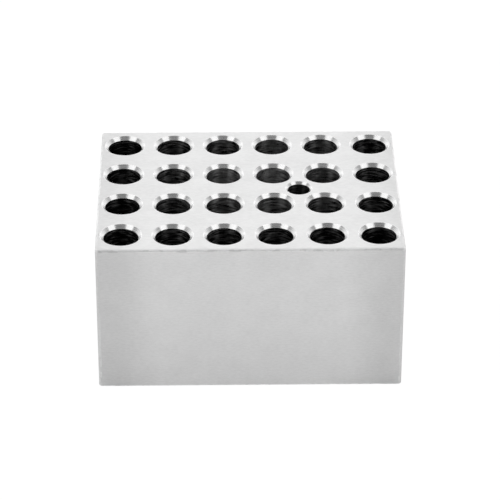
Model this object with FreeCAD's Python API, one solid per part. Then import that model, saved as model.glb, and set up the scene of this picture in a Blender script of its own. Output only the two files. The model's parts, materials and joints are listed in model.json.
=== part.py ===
# Heating block of a dry block heater: one aluminium billet, milled square, with a grid of drilled
# tube wells and one thermometer well. Every mouth is countersunk, the upright edges are rounded and
# the edges of the top and of the underside are broken.
# Millimetres, +Z up. The origin is the centre of the underside, the wells open towards +Z and the
# long side that a user faces is towards -Y.
import FreeCAD
import Part
import math
import os

# The billet
BLOCK_WIDTH = 95.0
BLOCK_DEPTH = 75.0
BLOCK_HEIGHT = 50.0
UPRIGHT_EDGE_RADIUS = 1.0
EDGE_BREAK = 0.6

# The tube wells, in a grid about the middle of the top face
WELL_COLUMNS = 6
WELL_ROWS = 4
COLUMN_PITCH = 15.9
ROW_PITCH = 18.8
WELL_DIAMETER = 10.8
WELL_DEPTH = 38.0
WELL_COUNTERSINK = 1.1

# The thermometer well, midway between four tube wells, one column to the right of the middle
THERMOMETER_DIAMETER = 7.0
THERMOMETER_DEPTH = 36.0
THERMOMETER_COUNTERSINK = 0.75
THERMOMETER_COLUMNS_FROM_MIDDLE = 1

# The drill leaves a cone at the foot of each well; depths are to the shoulder of that cone
DRILL_POINT_ANGLE = 118.0

CUTTER_OVERRUN = 1.0
UP = FreeCAD.Vector(0, 0, 1)


def drill_point_length(diameter):
    return diameter / 2 / math.tan(math.radians(DRILL_POINT_ANGLE / 2))


def is_upright(edge):
    return abs(edge.tangentAt(edge.FirstParameter).z) > 0.5


def is_level(face):
    return abs(face.normalAt(0, 0).z) > 0.5


def billet():
    corner = FreeCAD.Vector(-BLOCK_WIDTH / 2, -BLOCK_DEPTH / 2, 0)
    sawn = Part.makeBox(BLOCK_WIDTH, BLOCK_DEPTH, BLOCK_HEIGHT, corner)
    milled = sawn.makeFillet(UPRIGHT_EDGE_RADIUS, [edge for edge in sawn.Edges if is_upright(edge)])
    rims = [edge for face in milled.Faces if is_level(face) for edge in face.Edges]
    return milled.makeChamfer(EDGE_BREAK, rims)


# The metal that one hole takes away, as a half outline turned about the hole's axis: a 45 degree
# countersink carried a little past the top face, the straight wall and the drill point.
def drilled_hole(x, y, diameter, depth, countersink):
    radius = diameter / 2
    shoulder = BLOCK_HEIGHT - depth
    outline = [
        (0, BLOCK_HEIGHT + CUTTER_OVERRUN),
        (radius + countersink + CUTTER_OVERRUN, BLOCK_HEIGHT + CUTTER_OVERRUN),
        (radius, BLOCK_HEIGHT - countersink),
        (radius, shoulder),
        (0, shoulder - drill_point_length(diameter)),
    ]
    points = [FreeCAD.Vector(x + across, y, up) for across, up in outline]
    half_section = Part.Face(Part.makePolygon(points + points[:1]))
    return half_section.revolve(FreeCAD.Vector(x, y, 0), UP, 360)


def tube_wells():
    for row in range(WELL_ROWS):
        y = (row - (WELL_ROWS - 1) / 2) * ROW_PITCH
        for column in range(WELL_COLUMNS):
            x = (column - (WELL_COLUMNS - 1) / 2) * COLUMN_PITCH
            yield drilled_hole(x, y, WELL_DIAMETER, WELL_DEPTH, WELL_COUNTERSINK)


def thermometer_well():
    x = THERMOMETER_COLUMNS_FROM_MIDDLE * COLUMN_PITCH
    return drilled_hole(x, 0, THERMOMETER_DIAMETER, THERMOMETER_DEPTH, THERMOMETER_COUNTERSINK)


def heating_block():
    return billet().cut([*tube_wells(), thermometer_well()]).Solids[0]


def report(name, solid):
    box = solid.BoundBox
    floor = BLOCK_HEIGHT - WELL_DEPTH - drill_point_length(WELL_DIAMETER)
    print(f"{name}: {box.XLength:.2f} x {box.YLength:.2f} x {box.ZLength:.2f} mm,"
          f" {solid.Volume / 1000:.2f} cm3, {len(solid.Faces)} faces, valid {solid.isValid()}")
    print(f"  wall between columns {COLUMN_PITCH - WELL_DIAMETER:.2f} mm,"
          f" between rows {ROW_PITCH - WELL_DIAMETER:.2f} mm, floor under a well {floor:.2f} mm")


def main():
    os.makedirs("parts", exist_ok=True)
    block = heating_block()
    report("heating_block", block)
    block.exportStep("parts/heating_block.step")


main()
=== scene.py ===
import json
import math
import bmesh
import bpy
from mathutils import Matrix, Vector, noise


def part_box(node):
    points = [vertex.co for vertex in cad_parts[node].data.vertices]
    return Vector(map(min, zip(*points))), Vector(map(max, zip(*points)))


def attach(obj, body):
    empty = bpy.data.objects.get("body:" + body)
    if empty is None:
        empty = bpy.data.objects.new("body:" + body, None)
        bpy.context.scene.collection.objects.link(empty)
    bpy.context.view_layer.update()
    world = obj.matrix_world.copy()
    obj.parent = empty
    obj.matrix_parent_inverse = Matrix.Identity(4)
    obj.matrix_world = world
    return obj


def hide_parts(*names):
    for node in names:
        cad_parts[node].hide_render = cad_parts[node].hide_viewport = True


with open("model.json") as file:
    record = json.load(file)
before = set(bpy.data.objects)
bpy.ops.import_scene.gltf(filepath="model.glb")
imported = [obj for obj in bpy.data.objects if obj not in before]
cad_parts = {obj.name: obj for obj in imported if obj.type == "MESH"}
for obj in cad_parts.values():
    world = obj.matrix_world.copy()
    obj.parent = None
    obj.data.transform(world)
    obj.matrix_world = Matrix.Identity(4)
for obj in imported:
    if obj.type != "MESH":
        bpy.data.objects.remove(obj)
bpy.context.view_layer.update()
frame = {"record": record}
mm = 0.001
tiny = 0.01 * mm                # points closer than this are one
scene = bpy.context.scene
scene.view_settings.view_transform = "Standard"
blockLow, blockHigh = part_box("heating_block")
blockTop = blockHigh.z


# sRGB hex to linear
def hexColour(code):
    channels = [int(code[place:place + 2], 16) / 255 for place in (1, 3, 5)]
    linear = [level / 12.92 if level <= 0.04045 else ((level + 0.055) / 1.055) ** 2.4
              for level in channels]
    return (*linear, 1.0)


# a key is a socket's name, its number where sockets share a name, or else a setting of the node;
# a Mix takes its share at 0, numbers at 2 and 3, vectors at 4 and 5, colours at 6 and 7,
# and gives a number at 0, a vector at 1 and a colour at 2
def addNode(tree, kind, settings=None, links=None):
    node = tree.nodes.new(kind)
    for key, value in (settings or {}).items():
        if isinstance(key, int) or key in node.inputs:
            node.inputs[key].default_value = value
        else:
            setattr(node, key, value)
    for key, source in (links or {}).items():
        tree.links.new(source, node.inputs[key])
    return node


def newMaterial(name):
    material = bpy.data.materials.new(name)
    material.use_nodes = True
    material.node_tree.nodes.clear()
    return material, material.node_tree


# camera: long lens from the front, looking down on the wells;
# lens and sensor in millimetres, angles in degrees
cameraSet = {
    "lens": 193.6,
    "sensor": 36,
    "clipStart": 10 * mm,
    "distance": 864.3 * mm,
    "lookDown": 31.305,
    "heading": 0.98,
    "roll": 0.108,
    "aimHeight": 25 * mm,
    "aimRight": 0.47 * mm,
    "aimUp": 1.75 * mm,
}


def setCamera():
    data = bpy.data.cameras.new("camera")
    data.lens = cameraSet["lens"]
    data.sensor_width = cameraSet["sensor"]
    data.clip_start = cameraSet["clipStart"]
    camera = bpy.data.objects.new("camera", data)
    scene.collection.objects.link(camera)
    turn = Matrix.Rotation(math.radians(-cameraSet["heading"]), 4, "Z")
    tilt = Matrix.Rotation(math.radians(90 - cameraSet["lookDown"]), 4, "X")
    roll = Matrix.Rotation(math.radians(cameraSet["roll"]), 4, "Z")
    facing = turn @ tilt @ roll
    offset = Vector((cameraSet["aimRight"], cameraSet["aimUp"], cameraSet["distance"]))
    place = Vector((0, 0, cameraSet["aimHeight"])) + facing.to_3x3() @ offset
    camera.matrix_world = Matrix.Translation(place) @ facing
    scene.camera = camera


setCamera()
print("camera set")

# satin aluminium: milled, then fine brushed; pale grey with a broad soft sheen and faint lines; painted
# shade darkens it towards the upright edges, and its rounded edges are brighter, partly rubbed metal and
# partly a painted highlight
satinSet = {
    "pale": "#F0F0F0",
    "dull": "#E9E9E9",
    "roughness": 0.6,
    "roughnessSpread": 0.05,
    "grainWidth": 0.5 * mm,     # real lines are about 0.05 mm, drawn coarser so that they show
    "grainLength": 1.5 * mm,
    "grainDepth": 0.003 * mm,
    "cloudSize": 6 * mm,
    "cloudShare": 0.5,          # weight of the clouds beside the grain
    "toneRange": (0.5, 1.0),    # grain and clouds together, where dull and where pale
    "topFacing": 0.8,           # a face this near to level takes the lines of the top
    "bare": "#FFFFFF",          # rounded edges brighter: rubbed bare metal, and a painted highlight
    "rubbedAndHighlightRange": (0.05, 0.25),  # how far an edge leans where the rubbing and painted highlight start and where they are full
    "nicked": "#EEEEEE",        # and dull where they are nicked
    "nickSize": 2 * mm,
    "nickRange": (0.38, 0.5),   # noise, where nicked and where bare
    "endShadeLevel": 0.86,               # painted shade leaves this share of the brightness at the ends
    "endShadeReach": (3 * mm, 20 * mm),  # from an upright edge, where the painted shade is full and where it ends
    "endShadeReachTop": 1.8,        # on the top it spreads this much further
    "endShadeEaseTop": 9.5 * mm,    # and begins as faint as this far in on a side
}


# lines run level round the sides and along the length of the top
def brushedGrain(tree, spot, isTop):
    long, fine = 1 / satinSet["grainLength"], 1 / satinSet["grainWidth"]
    sideLines = addNode(tree, "ShaderNodeMapping", {"Scale": (long, long, fine)},
                        {"Vector": spot.outputs["Object"]})
    topLines = addNode(tree, "ShaderNodeMapping", {"Scale": (long, fine, long)},
                       {"Vector": spot.outputs["Object"]})
    lines = addNode(tree, "ShaderNodeMix", {"data_type": "VECTOR"},
                    {0: isTop.outputs[0], 4: sideLines.outputs[0], 5: topLines.outputs[0]})
    return addNode(tree, "ShaderNodeTexNoise", {"Scale": 1.0, "Detail": 3.0, "Roughness": 0.6},
                   {"Vector": lines.outputs[1]})


# the rounded edges are where a smooth normal is neither level nor upright:
# its lean is 0 on a flat face and grows to a half on the way round an edge
# rounded edges painted brighter: partly rubbed bare metal, partly a painted highlight that lifts their
# darker reflection
def rubbedEdgesAndHighlight(tree, spot, face, colour):
    normal = addNode(tree, "ShaderNodeSeparateXYZ", {}, {"Vector": face.outputs["Normal"]})
    tilt = addNode(tree, "ShaderNodeMath", {"operation": "ABSOLUTE"}, {0: normal.outputs["Z"]})
    lean = addNode(tree, "ShaderNodeMath", {"operation": "PINGPONG", 1: 0.5}, {0: tilt.outputs[0]})
    low, high = satinSet["rubbedAndHighlightRange"]
    rubbedAndHighlit = addNode(tree, "ShaderNodeMapRange", {"From Min": low, "From Max": high},
                     {"Value": lean.outputs[0]})
    nicks = addNode(tree, "ShaderNodeTexNoise", {"Scale": 1 / satinSet["nickSize"], "Detail": 2.0},
                    {"Vector": spot.outputs["Object"]})
    low, high = satinSet["nickRange"]
    spared = addNode(tree, "ShaderNodeMapRange", {"From Min": low, "From Max": high},
                     {"Value": nicks.outputs[0]})
    edgeColour = addNode(tree, "ShaderNodeMix", {"data_type": "RGBA", 6: hexColour(satinSet["nicked"]),
                                                 7: hexColour(satinSet["bare"])},
                         {0: spared.outputs[0]})
    return addNode(tree, "ShaderNodeMix", {"data_type": "RGBA"},
                   {0: rubbedAndHighlit.outputs[0], 6: colour.outputs[2], 7: edgeColour.outputs[2]})


# painted shade, darker towards the upright edges: by the distance along a side to its nearer end, and on
# the top to its left or right edge
def paintedEndShade(tree, spot, isTop):
    place = addNode(tree, "ShaderNodeSeparateXYZ", {}, {"Vector": spot.outputs["Object"]})
    across = addNode(tree, "ShaderNodeMath", {"operation": "ABSOLUTE"}, {0: place.outputs["X"]})
    along = addNode(tree, "ShaderNodeMath", {"operation": "ABSOLUTE"}, {0: place.outputs["Y"]})
    toSide = addNode(tree, "ShaderNodeMath", {"operation": "SUBTRACT", 0: blockHigh.x},
                     {1: across.outputs[0]})
    toBack = addNode(tree, "ShaderNodeMath", {"operation": "SUBTRACT", 0: blockHigh.y},
                     {1: along.outputs[0]})
    sideReach = addNode(tree, "ShaderNodeMath", {"operation": "MAXIMUM"},
                        {0: toSide.outputs[0], 1: toBack.outputs[0]})
    topReach = addNode(tree, "ShaderNodeMath",
                       {"operation": "MULTIPLY_ADD", 1: 1 / satinSet["endShadeReachTop"],
                        2: satinSet["endShadeEaseTop"]}, {0: toSide.outputs[0]})
    reach = addNode(tree, "ShaderNodeMix", {"data_type": "FLOAT"},
                    {0: isTop.outputs[0], 2: sideReach.outputs[0], 3: topReach.outputs[0]})
    low, high = satinSet["endShadeReach"]
    return addNode(tree, "ShaderNodeMapRange",
                   {"interpolation_type": "SMOOTHSTEP", "From Min": low, "From Max": high,
                    "To Min": satinSet["endShadeLevel"], "To Max": 1.0}, {"Value": reach.outputs[0]})


def satinAluminium():
    material, tree = newMaterial("aluminium_satin_brushed")
    spot = addNode(tree, "ShaderNodeTexCoord")
    face = addNode(tree, "ShaderNodeNewGeometry")
    facing = addNode(tree, "ShaderNodeSeparateXYZ", {}, {"Vector": face.outputs["True Normal"]})
    level = addNode(tree, "ShaderNodeMath", {"operation": "ABSOLUTE"}, {0: facing.outputs["Z"]})
    isTop = addNode(tree, "ShaderNodeMath", {"operation": "GREATER_THAN", 1: satinSet["topFacing"]},
                    {0: level.outputs[0]})
    grain = brushedGrain(tree, spot, isTop)
    cloud = addNode(tree, "ShaderNodeTexNoise",
                    {"Scale": 1 / satinSet["cloudSize"], "Detail": 4.0, "Roughness": 0.55},
                    {"Vector": spot.outputs["Object"]})
    tone = addNode(tree, "ShaderNodeMath", {"operation": "MULTIPLY_ADD", 1: satinSet["cloudShare"]},
                   {0: cloud.outputs[0], 2: grain.outputs[0]})
    low, high = satinSet["toneRange"]
    share = addNode(tree, "ShaderNodeMapRange", {"From Min": low, "From Max": high},
                    {"Value": tone.outputs[0]})
    colour = addNode(tree, "ShaderNodeMix", {"data_type": "RGBA", 6: hexColour(satinSet["dull"]),
                                             7: hexColour(satinSet["pale"])},
                     {0: share.outputs[0]})
    rubbedAndHighlitColour = rubbedEdgesAndHighlight(tree, spot, face, colour)
    # painted shade: the satin grows darker towards the upright edges
    endShadeLevel = paintedEndShade(tree, spot, isTop)
    endShadedColour = addNode(tree, "ShaderNodeVectorMath", {"operation": "SCALE"},
                         {0: rubbedAndHighlitColour.outputs[2], "Scale": endShadeLevel.outputs[0]})
    rough = addNode(tree, "ShaderNodeMapRange",
                    {"To Min": satinSet["roughness"] + satinSet["roughnessSpread"],
                     "To Max": satinSet["roughness"] - satinSet["roughnessSpread"]},
                    {"Value": share.outputs[0]})
    bump = addNode(tree, "ShaderNodeBump", {"Strength": 1.0, "Distance": satinSet["grainDepth"]},
                   {"Height": grain.outputs[0]})
    metal = addNode(tree, "ShaderNodeBsdfPrincipled", {"Metallic": 1.0},
                    {"Base Color": endShadedColour.outputs[0], "Roughness": rough.outputs[0],
                     "Normal": bump.outputs[0]})
    addNode(tree, "ShaderNodeOutputMaterial", {}, {"Surface": metal.outputs[0]})
    return material


# bright aluminium: countersinks cut last with a sharp tool, left shining with fine turned rings
brightSet = {
    "pale": "#F2F2F2",
    "dull": "#EEEEEE",
    "patchSize": 9 * mm,
    "roughness": 0.265,
    "groove": 0.94,             # rings spread the light up and down more than sideways
    "ringPitch": 0.16 * mm,     # real rings are about 0.05 mm, drawn coarser so that they show
    "ringLength": 12 * mm,
    "ringDepth": 0.002 * mm,
}

# drilled aluminium: the tool's feed leaves level rings, and the walls' dull end is painted shade, near
# black, for the shade deep in the wells
drilledSet = {
    "pale": "#C4C4C4",
    "dull": "#242424",
    "patchSize": 13 * mm,       # so that no two wells are shaded alike
    "roughness": 0.32,
    "groove": 0.95,
    "ringPitch": 0.5 * mm,      # real rings are about 0.2 mm, drawn coarser so that they show
    "ringLength": 3 * mm,
    "ringDepth": 0.006 * mm,
}

# the thermometer's well is drilled alike, with its pale end darkened further by painted shade
thermometerShadeSet = dict(drilledSet, pale="#6A6A6A")

# every turned finish: painted shade, least in the middle of the block and darker towards the outer
# wells, and rougher on some rings
turnedSet = {
    "leastShadePlace": (3 * mm, 12 * mm),  # right and back of the middle
    "shadeReach": (46 * mm, 50 * mm),  # from there to where the painted shade is full
    "patchShare": 0.6,
    "ringShare": 2.4,
    "span": 1.2,                # from full painted shade to none
    "ringRange": (0.3, 0.7),    # where the rings' noise mostly lies
    "roughnessSpread": 0.2,     # share that the roughness gains or loses with the rings
}


def turnedAluminium(name, look):
    material, tree = newMaterial(name)
    spot = addNode(tree, "ShaderNodeTexCoord")
    long, fine = 1 / look["ringLength"], 1 / look["ringPitch"]
    level = addNode(tree, "ShaderNodeMapping", {"Scale": (long, long, fine)},
                    {"Vector": spot.outputs["Object"]})
    rings = addNode(tree, "ShaderNodeTexNoise", {"Scale": 1.0, "Detail": 2.0},
                    {"Vector": level.outputs[0]})
    patch = addNode(tree, "ShaderNodeTexNoise", {"Scale": 1 / look["patchSize"], "Detail": 1.0},
                    {"Vector": spot.outputs["Object"]})
    scale = [1 / reach for reach in turnedSet["shadeReach"]]
    shift = [-place * part for place, part in zip(turnedSet["leastShadePlace"], scale)]
    plan = addNode(tree, "ShaderNodeMapping", {"Location": (*shift, 0), "Scale": (*scale, 0)},
                   {"Vector": spot.outputs["Object"]})
    # painted shade: the wells grow darker away from the middle of the block
    unshaded = addNode(tree, "ShaderNodeTexGradient", {"gradient_type": "SPHERICAL"},
                    {"Vector": plan.outputs[0]})
    patchy = addNode(tree, "ShaderNodeMath", {"operation": "MULTIPLY_ADD", 1: turnedSet["patchShare"]},
                     {0: patch.outputs[0], 2: unshaded.outputs["Fac"]})
    tone = addNode(tree, "ShaderNodeMath", {"operation": "MULTIPLY_ADD", 1: turnedSet["ringShare"]},
                   {0: rings.outputs[0], 2: patchy.outputs[0]})
    # both noises stay near a half
    low = (turnedSet["patchShare"] + turnedSet["ringShare"]) / 2
    share = addNode(tree, "ShaderNodeMapRange", {"From Min": low, "From Max": low + turnedSet["span"]},
                    {"Value": tone.outputs[0]})
    colour = addNode(tree, "ShaderNodeMix", {"data_type": "RGBA", 6: hexColour(look["dull"]),
                                             7: hexColour(look["pale"])},
                     {0: share.outputs[0]})
    bump = addNode(tree, "ShaderNodeBump", {"Strength": 1.0, "Distance": look["ringDepth"]},
                   {"Height": rings.outputs[0]})
    low, high = turnedSet["ringRange"]
    rough = addNode(tree, "ShaderNodeMapRange",
                    {"From Min": low, "From Max": high,
                     "To Min": look["roughness"] * (1 - turnedSet["roughnessSpread"]),
                     "To Max": look["roughness"] * (1 + turnedSet["roughnessSpread"])},
                    {"Value": rings.outputs[0]})
    upright = addNode(tree, "ShaderNodeCombineXYZ", {"Z": 1.0})
    metal = addNode(tree, "ShaderNodeBsdfPrincipled",
                    {"Metallic": 1.0, "Anisotropic": look["groove"]},
                    {"Base Color": colour.outputs[2], "Roughness": rough.outputs[0],
                     "Normal": bump.outputs[0], "Tangent": upright.outputs[0]})
    addNode(tree, "ShaderNodeOutputMaterial", {}, {"Surface": metal.outputs[0]})
    return material


# heating block: one milled billet with countersunk, drilled wells
blockSet = {
    "uprightRadius": 1.0 * mm,
    "uprightSegments": 8,
    "topRadius": 0.9 * mm,
    "footRadius": 0.5 * mm,
    "edgeSegments": 6,
    "edgeCuts": 280,            # points along a rounded edge
    "dent": 0.1 * mm,           # how unevenly the edges were rounded by hand
    "dentLength": 3.5 * mm,
    "dentNoise": (1.0, 2.0, 3),  # smoothness, step between octaves, octaves
    "flatShare": 0.99,          # a point that faces one way this much is on a flat face, with no dent
    "collar": 0.4 * mm,         # flat ring kept round each mouth
    "rimBreak": 0.12 * mm,
    "throatBreak": 0.04 * mm,
    "rimSegments": 4,
    "wellSegments": 96,
    "drillPoint": 118,
    "sharpAngle": 5,            # in a well, a corner sharper than this many degrees shows as a line
}
# material slots, in the order in which they are filled
satinIndex, brightIndex, drilledIndex, thermometerShadeIndex = 0, 1, 2, 3


def isLevelAt(edge, height):
    return all(abs(vert.co.z - height) < tiny for vert in edge.verts)


# small dents along the rounded edges: points off the flat faces sink in a little
def dentEdges(verts, radius):
    inset = Vector((radius, radius, radius))
    low, high = blockLow + inset, blockHigh - inset
    for vert in verts:
        core = Vector([max(least, min(most, part)) for least, most, part in zip(low, high, vert.co)])
        outward = (vert.co - core).normalized()
        if max(abs(part) for part in outward) > blockSet["flatShare"]:
            continue
        depth = noise.fractal(vert.co / blockSet["dentLength"], *blockSet["dentNoise"])
        vert.co -= outward * max(0, depth) * blockSet["dent"]


def makeBillet():
    bm = bmesh.new()
    size = blockHigh - blockLow
    place = Matrix.Translation((blockLow + blockHigh) / 2) @ Matrix.Diagonal((*size, 1))
    bmesh.ops.create_cube(bm, size=1.0, matrix=place)
    uprights = [edge for edge in bm.edges if abs(edge.verts[0].co.z - edge.verts[1].co.z) > tiny]
    rounded = bmesh.ops.bevel(bm, geom=uprights, offset=blockSet["uprightRadius"], affect="EDGES",
                              segments=blockSet["uprightSegments"], profile=0.5, material=-1)
    for face in rounded["faces"]:
        face.smooth = True
    # the straight rims get points for the dents, the short ones round the corners have enough
    rims = [edge for edge in bm.edges if isLevelAt(edge, blockTop) or isLevelAt(edge, blockLow.z)]
    straights = [edge for edge in rims if edge.calc_length() > size.y / 2]
    bmesh.ops.subdivide_edges(bm, edges=straights, cuts=blockSet["edgeCuts"])
    for height, radius in ((blockTop, blockSet["topRadius"]), (blockLow.z, blockSet["footRadius"])):
        rims = [edge for edge in bm.edges if isLevelAt(edge, height)]
        rounded = bmesh.ops.bevel(bm, geom=rims, offset=radius, affect="EDGES",
                                  segments=blockSet["edgeSegments"], profile=0.5, material=-1)
        for face in rounded["faces"]:
            face.smooth = True
        dentEdges(rounded["verts"], radius)
    return bm


def makeWell(mount):
    well = bmesh.new()
    x, y, z = mount["pos_m"]
    radius = mount["dims"]["r_mm"] * mm
    halfLength = mount["dims"]["length_mm"] * mm / 2
    throat, shoulder = z + halfLength, z - halfLength
    mouth = radius + blockTop - throat  # a 45 degree countersink is as wide as it is deep
    tip = shoulder - radius / math.tan(math.radians(blockSet["drillPoint"] / 2))
    outline = [(mouth + blockSet["collar"], blockTop), (mouth, blockTop), (radius, throat),
               (radius, shoulder), (0, tip)]
    verts = [well.verts.new((x + across, y, up)) for across, up in outline]
    edges = [well.edges.new(pair) for pair in zip(verts, verts[1:])]
    bmesh.ops.spin(well, geom=verts + edges, cent=(x, y, 0), axis=(0, 0, 1), angle=math.tau,
                   steps=blockSet["wellSegments"], use_merge=True)
    bmesh.ops.remove_doubles(well, verts=well.verts, dist=tiny)
    middle = Vector((x, y))
    rim = [edge for edge in well.edges if isLevelAt(edge, blockTop)
           and all(abs((vert.co.xy - middle).length - mouth) < tiny for vert in edge.verts)]
    step = [edge for edge in well.edges if isLevelAt(edge, throat)]
    for ring, size in ((rim, blockSet["rimBreak"]), (step, blockSet["throatBreak"])):
        bmesh.ops.bevel(well, geom=ring, offset=size, affect="EDGES",
                        segments=blockSet["rimSegments"], profile=0.5, material=-1)
    # the thermometer's narrow well takes the darker painted shade
    wallIndex = thermometerShadeIndex if mount["name"] == "thermometer_well" else drilledIndex
    for face in well.faces:
        height = face.calc_center_median().z
        isCollar = height > blockTop - tiny
        face.smooth = not isCollar
        face.material_index = satinIndex if isCollar else brightIndex
        if height < throat - blockSet["throatBreak"] / 2:
            face.material_index = wallIndex
    return well


def makeBlock():
    bm = makeBillet()
    # the plain top goes, the wells come, and a new top is filled in round their collars
    top = [face for face in bm.faces if face.calc_center_median().z > blockTop - tiny]
    bmesh.ops.delete(bm, geom=top, context="FACES_ONLY")
    bores = [mount for mount in frame["record"]["mounts"] if mount["kind"] == "bore"]
    for mount in bores:
        well = makeWell(mount)
        mesh = bpy.data.meshes.new("well")
        well.to_mesh(mesh)
        well.free()
        bm.from_mesh(mesh)
        bpy.data.meshes.remove(mesh)
    openEdges = [edge for edge in bm.edges if edge.is_boundary]
    bmesh.ops.triangle_fill(bm, use_beauty=True, edges=openEdges, normal=(0, 0, 1))
    bmesh.ops.recalc_face_normals(bm, faces=bm.faces)
    limit = math.radians(blockSet["sharpAngle"])
    for edge in bm.edges:
        inWell = all(face.material_index != satinIndex for face in edge.link_faces)
        if inWell and edge.calc_face_angle(0) > limit:
            edge.smooth = False
    openCount = sum(not edge.is_manifold for edge in bm.edges)
    print("block mesh", len(bm.faces), "faces,", len(bores), "wells, open edges", openCount)
    mesh = bpy.data.meshes.new("milled_block")
    bm.to_mesh(mesh)
    bm.free()
    for material in (satinAluminium(), turnedAluminium("aluminium_bright_turned", brightSet),
                     turnedAluminium("aluminium_drilled", drilledSet),
                     turnedAluminium("aluminium_drilled_thermometer_shade", thermometerShadeSet)):
        mesh.materials.append(material)
    block = bpy.data.objects.new("milled_block", mesh)
    scene.collection.objects.link(block)
    return block


block = makeBlock()
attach(block, "root")
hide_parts("heating_block")
print("block made")

# floor: white paper, seen at full white with a small share that takes the shadow;
# the metal shows it as the lamps light it, with a faint glow added
floorSet = {
    "size": 6.0,
    "drop": 0.02 * mm,          # keeps it clear of the underside
    "paper": "#F2F2F2",
    "shadowShare": 0.12,
    "seenGlow": 1.08,
    "mirroredGlow": 0.165,
}


def makeFloor():
    material, tree = newMaterial("paper_white_sweep")
    path = addNode(tree, "ShaderNodeLightPath")
    paper = addNode(tree, "ShaderNodeBsdfDiffuse", {"Color": hexColour(floorSet["paper"])})
    bright = addNode(tree, "ShaderNodeEmission", {"Strength": floorSet["seenGlow"]})
    white = addNode(tree, "ShaderNodeMixShader", {0: 1 - floorSet["shadowShare"]},
                    {1: paper.outputs[0], 2: bright.outputs[0]})
    faint = addNode(tree, "ShaderNodeEmission", {"Strength": floorSet["mirroredGlow"]})
    mirrored = addNode(tree, "ShaderNodeAddShader", {}, {0: paper.outputs[0], 1: faint.outputs[0]})
    inMetal = addNode(tree, "ShaderNodeMixShader", {},
                      {0: path.outputs["Is Glossy Ray"], 1: paper.outputs[0], 2: mirrored.outputs[0]})
    direct = addNode(tree, "ShaderNodeMath", {"operation": "MAXIMUM"},
                     {0: path.outputs["Is Camera Ray"], 1: path.outputs["Is Transmission Ray"]})
    surface = addNode(tree, "ShaderNodeMixShader", {},
                      {0: direct.outputs[0], 1: inMetal.outputs[0], 2: white.outputs[0]})
    addNode(tree, "ShaderNodeOutputMaterial", {}, {"Surface": surface.outputs[0]})
    bm = bmesh.new()
    bmesh.ops.create_grid(bm, x_segments=1, y_segments=1, size=floorSet["size"] / 2,
                          matrix=Matrix.Translation((0, 0, -floorSet["drop"])))
    mesh = bpy.data.meshes.new("floor")
    bm.to_mesh(mesh)
    bm.free()
    mesh.materials.append(material)
    floor = bpy.data.objects.new("floor", mesh)
    scene.collection.objects.link(floor)


makeFloor()
print("floor made")

# studio: white backdrop behind, dim room in front, a softbox on each side; angles in degrees
roomSet = {
    "backdrop": 1.05,
    "backdropRise": 40,         # the white sweep is centred this high behind the block
    "backdropEdge": (60, 51),   # and fades in between these angles from its centre
    "horizon": 1.8,             # it is brightest where it meets the floor
    "horizonRise": 0.32,        # and plain where this share of a direction points up
    "front": 0.28,
    "sides": 0.55,
    "sidesEdge": (0.5, 0.85),   # share that points sideways, from the front to the full side walls
    "ceiling": 0.17,
    "ceilingEdge": (0.3, 0.45),  # share that points up, from the walls to the full dark ceiling
    "seenGlow": 1.0,            # white where the camera sees it
}
softboxSet = {
    "azimuth": 59.8,            # to each side of the front
    "elevation": 40.5,
    "lean": 22.4,               # turn of a panel in its own plane
    "distance": 1.2,
    "width": 0.73,
    "height": 1.33,
    "brightness": 0.99,
}


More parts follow.
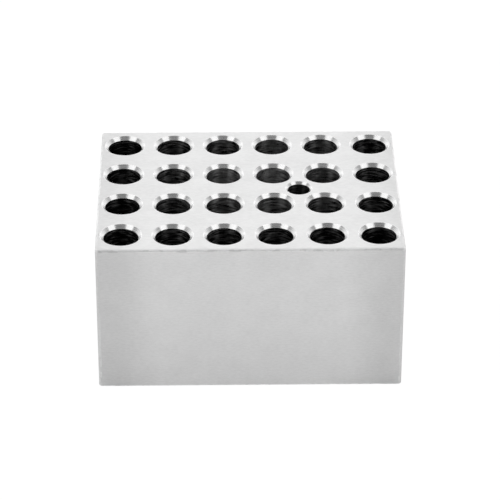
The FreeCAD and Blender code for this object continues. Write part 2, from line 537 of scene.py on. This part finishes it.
def makeRoom():
    world = bpy.data.worlds.new("studio")
    scene.world = world
    world.use_nodes = True
    tree = world.node_tree
    tree.nodes.clear()
    way = addNode(tree, "ShaderNodeTexCoord")
    axes = addNode(tree, "ShaderNodeSeparateXYZ", {}, {"Vector": way.outputs["Generated"]})
    aside = addNode(tree, "ShaderNodeMath", {"operation": "ABSOLUTE"}, {0: axes.outputs["X"]})
    low, high = roomSet["sidesEdge"]
    wall = addNode(tree, "ShaderNodeMapRange",
                   {"From Min": low, "From Max": high,
                    "To Min": roomSet["front"], "To Max": roomSet["sides"]},
                   {"Value": aside.outputs[0]})
    low, high = roomSet["ceilingEdge"]
    room = addNode(tree, "ShaderNodeMapRange",
                   {"From Min": low, "From Max": high, "To Max": roomSet["ceiling"]},
                   {"Value": axes.outputs["Z"], "To Min": wall.outputs[0]})
    rise = math.radians(roomSet["backdropRise"])
    low, high = (math.cos(math.radians(angle)) for angle in roomSet["backdropEdge"])
    nearness = addNode(tree, "ShaderNodeVectorMath",
                       {"operation": "DOT_PRODUCT", 1: (0, math.cos(rise), math.sin(rise))},
                       {0: way.outputs["Generated"]})
    back = addNode(tree, "ShaderNodeMapRange", {"From Min": low, "From Max": high},
                   {"Value": nearness.outputs["Value"]})
    sweep = addNode(tree, "ShaderNodeMapRange",
                    {"From Max": roomSet["horizonRise"],
                     "To Min": roomSet["horizon"], "To Max": roomSet["backdrop"]},
                    {"Value": axes.outputs["Z"]})
    light = addNode(tree, "ShaderNodeMix", {"data_type": "FLOAT"},
                    {0: back.outputs[0], 2: room.outputs[0], 3: sweep.outputs[0]})
    path = addNode(tree, "ShaderNodeLightPath")
    level = addNode(tree, "ShaderNodeMix", {"data_type": "FLOAT", 3: roomSet["seenGlow"]},
                    {0: path.outputs["Is Camera Ray"], 2: light.outputs[0]})
    glow = addNode(tree, "ShaderNodeBackground", {"Color": (1, 1, 1, 1)}, {"Strength": level.outputs[0]})
    addNode(tree, "ShaderNodeOutputWorld", {}, {"Surface": glow.outputs[0]})


def addSoftbox(name, azimuth):
    data = bpy.data.lights.new(name, "AREA")
    data.shape = "RECTANGLE"
    data.size, data.size_y = softboxSet["width"], softboxSet["height"]
    # the power follows the panel's area, so that a resized panel is as bright as before
    data.energy = softboxSet["brightness"] * math.pi * data.size * data.size_y
    lamp = bpy.data.objects.new(name, data)
    scene.collection.objects.link(lamp)
    turn = Matrix.Rotation(math.radians(azimuth), 4, "Z")
    tilt = Matrix.Rotation(math.radians(90 - softboxSet["elevation"]), 4, "X")
    away = Matrix.Translation((0, 0, softboxSet["distance"]))
    lean = Matrix.Rotation(math.radians(-math.copysign(softboxSet["lean"], azimuth)), 4, "Z")
    lamp.matrix_world = Matrix.Translation((0, 0, blockTop)) @ turn @ tilt @ lean @ away


makeRoom()
addSoftbox("softbox_right", softboxSet["azimuth"])
addSoftbox("softbox_left", -softboxSet["azimuth"])
print("studio lit")
